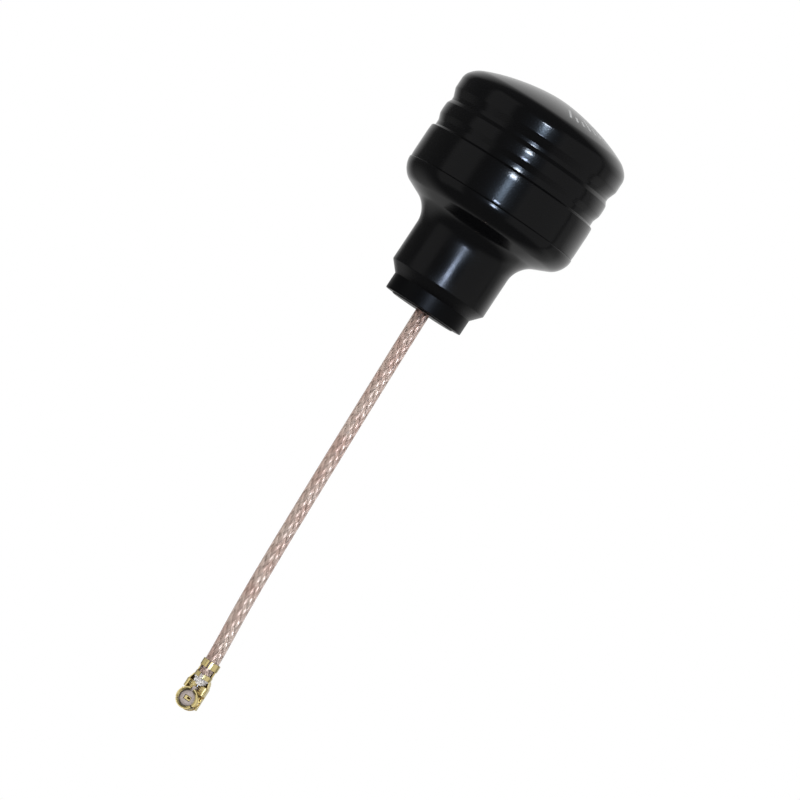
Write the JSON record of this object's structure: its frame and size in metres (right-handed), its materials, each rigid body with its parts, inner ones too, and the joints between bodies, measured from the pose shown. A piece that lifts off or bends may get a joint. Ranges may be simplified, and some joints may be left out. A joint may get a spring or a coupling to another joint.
{
  "type": "fpv antenna",
  "caption": "Circularly polarised video-link antenna: a grooved round housing with a domed cap and narrow neck, a thin coaxial pigtail and a miniature push-on plug.",
  "frame": {"origin": "centre of the collar's end face, where the cable leaves the housing", "axes": "+Z along the housing's axis towards the dome; the cable hangs along -Z; the plug's mouth faces about -Y"},
  "size_m": [0.0228, 0.0226, 0.0842],
  "materials": {
    "housing": "high gloss black moulding",
    "bush": "high gloss black moulding",
    "jacket": "clear fluoropolymer jacket with a brown tint",
    "screen": "bright silver-plated copper wire, braided",
    "insulation": "white fluoropolymer, smooth",
    "wire": "silver-plated, bright",
    "sleeve": "black shrink sleeve, satin",
    "laminate": "glass-epoxy laminate, satin",
    "copper": "bare etched copper, satin",
    "solder": "solder, satin",
    "gold": "gold-plated stamped sheet, bright",
    "plug_plastic": "grey moulding, satin"
  },
  "bodies": {
    "root": {"dome_cap": "housing", "neck_shell": "housing", "cable_bush": "bush", "strain_sleeve": "sleeve", "cable_jacket": "jacket", "cable_braid": "screen", "cable_dielectric": "insulation", "cable_core": "wire", "bottom_disc": "laminate", "middle_disc": "laminate", "top_disc": "laminate", "bottom_disc_copper": "copper", "middle_disc_copper": "copper", "top_disc_copper": "copper", "bottom_solder": "solder", "middle_solder": "solder", "top_solder": "solder", "plug_shell": "gold", "plug_insulator": "plug_plastic", "plug_contact": "gold"}
  },
  "joints": []
}
